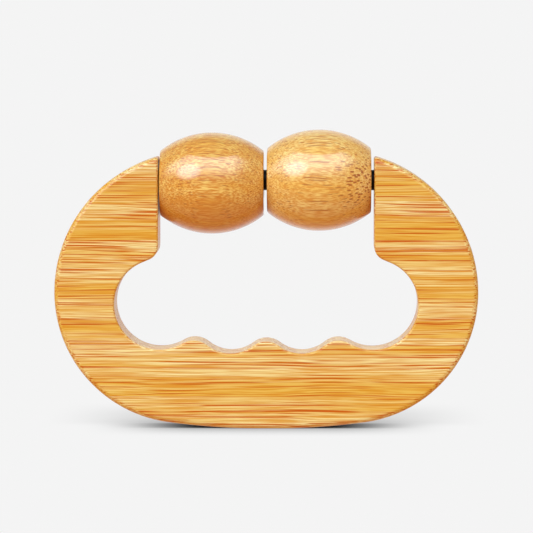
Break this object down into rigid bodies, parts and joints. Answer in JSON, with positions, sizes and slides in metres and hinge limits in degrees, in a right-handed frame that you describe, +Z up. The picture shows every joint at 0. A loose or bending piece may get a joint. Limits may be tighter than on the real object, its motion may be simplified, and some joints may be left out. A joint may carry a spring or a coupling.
{
  "type": "foot massage roller",
  "caption": "Hand-held massage roller: C-shaped laminated bamboo handle with finger scallops and barrel rollers spinning on a steel rod between its arms.",
  "frame": {"origin": "middle of the small flat under the bowed base, on the surface the roller stands on", "axes": "+Z up towards the rollers, +X along the axle from the left arm to the right arm, +Y through the board's thickness"},
  "size_m": [0.145, 0.0348, 0.102],
  "materials": {
    "handle_bamboo": "satin lacquered laminated bamboo",
    "plug_bamboo": "end grain, sanded flush and lacquered",
    "roller_bamboo": "polished and lacquered bamboo",
    "axle_steel": "black oxide steel rod, satin"
  },
  "bodies": {
    "handle": {"grip_strip_1": "handle_bamboo", "grip_strip_2": "handle_bamboo", "grip_strip_3": "handle_bamboo", "grip_strip_4": "handle_bamboo", "grip_strip_5": "handle_bamboo", "left_arm_strip_1": "handle_bamboo", "right_arm_strip_1": "handle_bamboo", "left_arm_strip_2": "handle_bamboo", "right_arm_strip_2": "handle_bamboo", "left_arm_strip_3": "handle_bamboo", "right_arm_strip_3": "handle_bamboo", "left_arm_strip_4": "handle_bamboo", "right_arm_strip_4": "handle_bamboo", "left_arm_strip_5": "handle_bamboo", "right_arm_strip_5": "handle_bamboo", "left_arm_strip_6": "handle_bamboo", "right_arm_strip_6": "handle_bamboo", "left_arm_strip_7": "handle_bamboo", "right_arm_strip_7": "handle_bamboo", "left_arm_strip_8": "handle_bamboo", "right_arm_strip_8": "handle_bamboo", "left_arm_strip_9": "handle_bamboo", "right_arm_strip_9": "handle_bamboo", "axle_plug": "plug_bamboo", "axle": "axle_steel"},
    "left_roller": {"roller_left": "roller_bamboo"},
    "right_roller": {"roller_right": "roller_bamboo"}
  },
  "joints": [
    {"name": "left_roller_spin", "type": "hinge", "parent": "handle", "child": "left_roller", "pos_m": [-0.01871, 0, 0.08365], "axis": [1, 0, 0], "continuous": true},
    {"name": "right_roller_spin", "type": "hinge", "parent": "handle", "child": "right_roller", "pos_m": [0.01806, 0, 0.08465], "axis": [1, 0, 0], "continuous": true}
  ]
}
